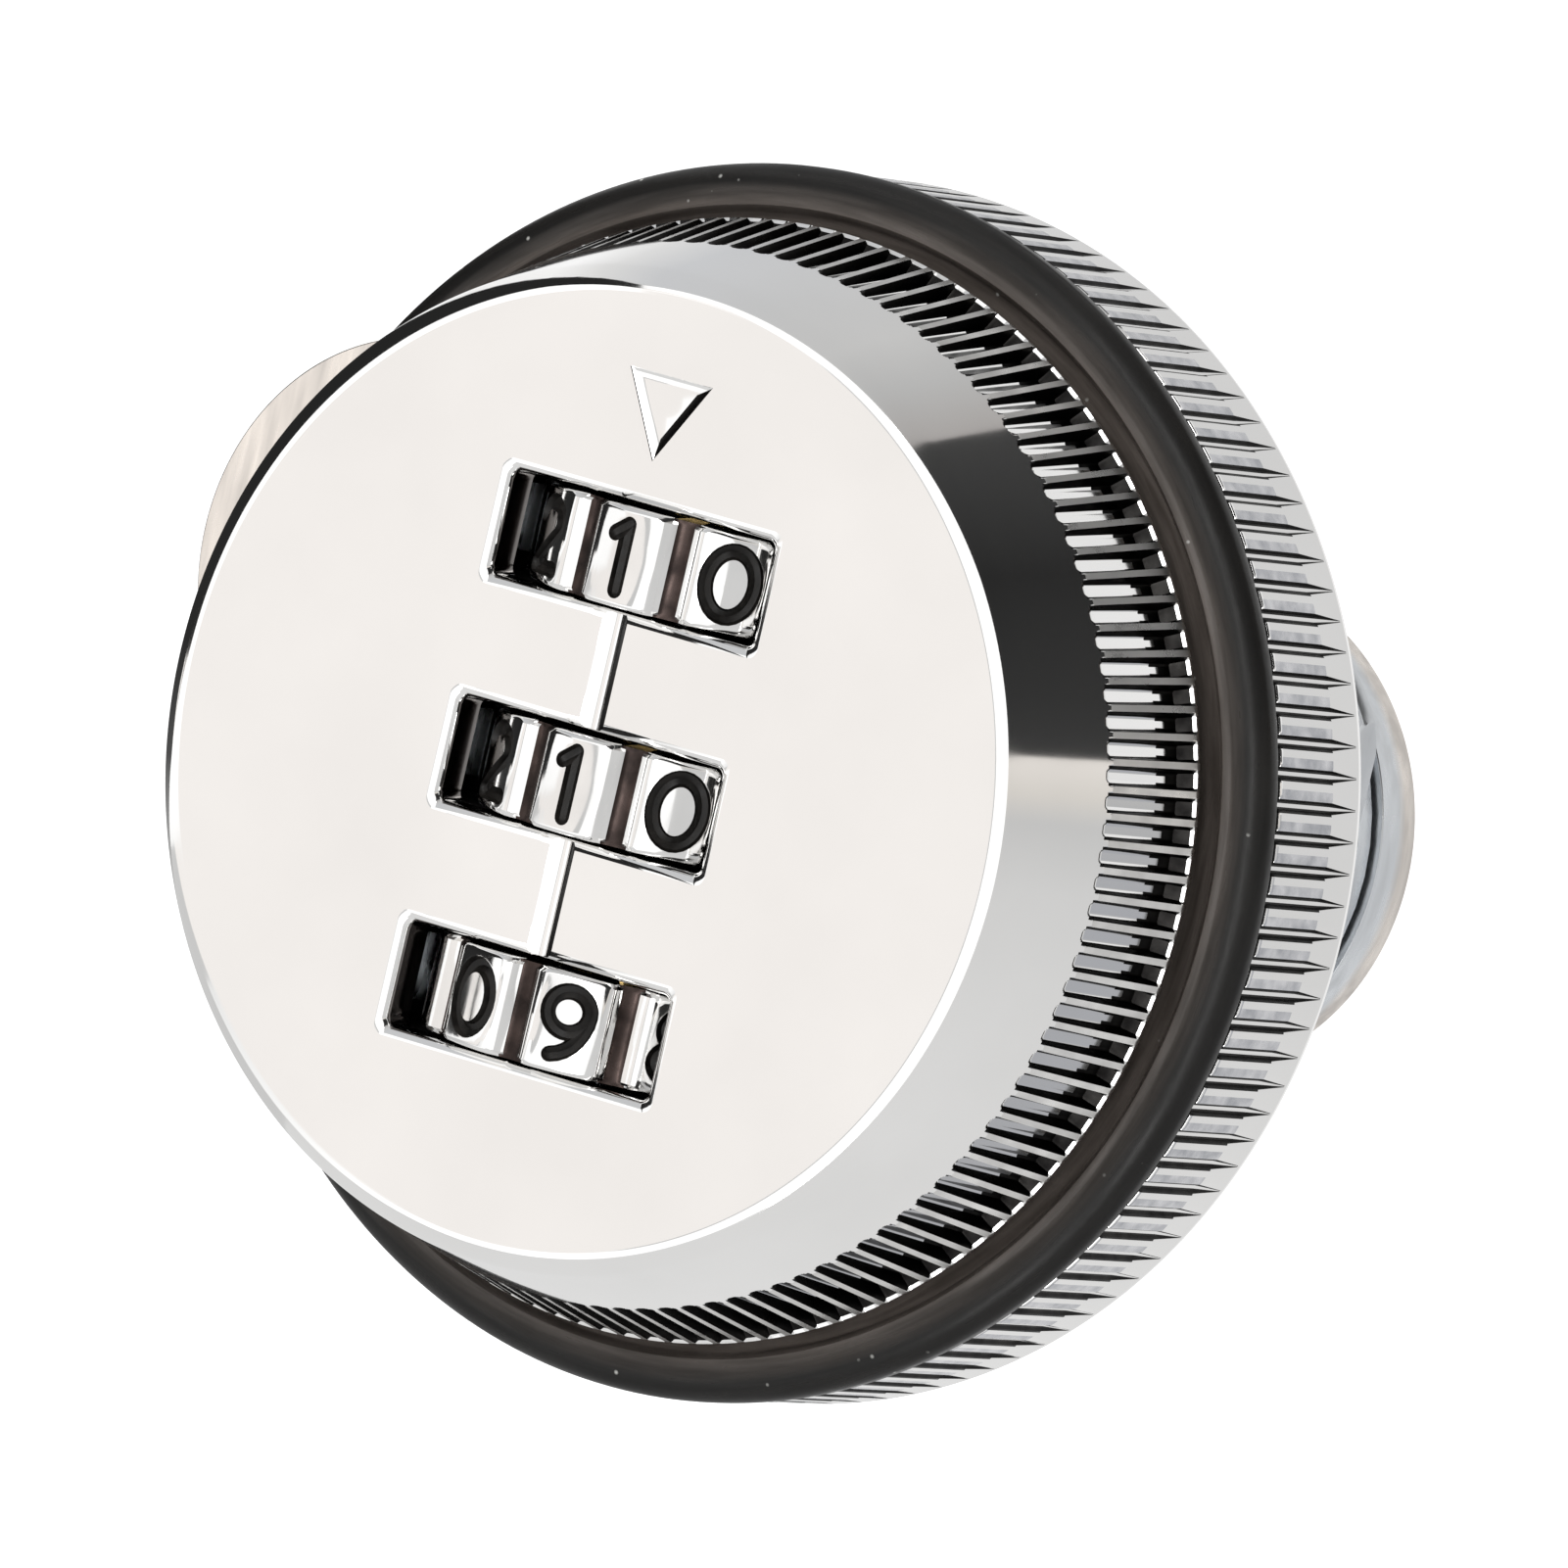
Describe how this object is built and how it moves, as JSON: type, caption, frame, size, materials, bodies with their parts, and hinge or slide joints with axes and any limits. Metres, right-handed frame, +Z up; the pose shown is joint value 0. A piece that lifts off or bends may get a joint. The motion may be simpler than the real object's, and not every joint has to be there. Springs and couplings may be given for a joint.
{
  "type": "combination cam lock",
  "caption": "Round keyless locker lock with number wheels in a fluted chrome knob, a rubber gasket, a fluted trim ring, a flat-sided barrel and a cam latch.",
  "frame": {"origin": "on the lock's axis, in the plane where the trim ring meets the front of the door", "axes": "+Y into the locker along the barrel, +Z up on the dial, +X to the right as seen from the front"},
  "size_m": [0.0592, 0.0437, 0.0398],
  "materials": {
    "chrome": "polished",
    "wheel_chrome": "polished, with black-filled numbers",
    "zinc": "bright zinc plating on a casting",
    "steel": "zinc-plated steel sheet",
    "brass": "machined brass",
    "rubber": "black moulded rubber with a dull sheen"
  },
  "bodies": {
    "barrel": {"threaded_barrel": "zinc", "rubber_gasket": "rubber", "trim_ring": "chrome", "mounting_nut": "zinc"},
    "knob": {"knob_shell": "chrome", "wheel_carrier": "zinc", "wheel_axle": "steel", "top_sleeve": "brass", "middle_sleeve": "brass", "bottom_sleeve": "brass", "top_detent_spring": "steel", "middle_detent_spring": "steel", "bottom_detent_spring": "steel", "carrier_screw_left": "steel", "carrier_screw_right": "steel", "spindle": "steel", "stop_washer": "steel", "cam": "steel", "lock_washer": "steel", "cam_nut": "steel"},
    "wheel_top": {"top_wheel": "wheel_chrome"},
    "wheel_middle": {"middle_wheel": "wheel_chrome"},
    "wheel_bottom": {"bottom_wheel": "wheel_chrome"},
    "slide": {"locking_slide": "steel"}
  },
  "joints": [
    {"name": "knob_turn", "type": "hinge", "parent": "barrel", "child": "knob", "pos_m": [0, 0, 0], "axis": [0, 1, 0], "range_deg": [0, 90]},
    {"name": "top_wheel_turn", "type": "hinge", "parent": "knob", "child": "wheel_top", "pos_m": [0, -0.0104, 0.00691], "axis": [0, 0, 1], "continuous": true},
    {"name": "middle_wheel_turn", "type": "hinge", "parent": "knob", "child": "wheel_middle", "pos_m": [0, -0.0104, -0.0005], "axis": [0, 0, 1], "continuous": true},
    {"name": "bottom_wheel_turn", "type": "hinge", "parent": "knob", "child": "wheel_bottom", "pos_m": [0, -0.0104, -0.00791], "axis": [0, 0, 1], "continuous": true},
    {"name": "slide_travel", "type": "slide", "parent": "knob", "child": "slide", "axis": [1, 0, 0], "range_m": [0, 0.0013]}
  ]
}
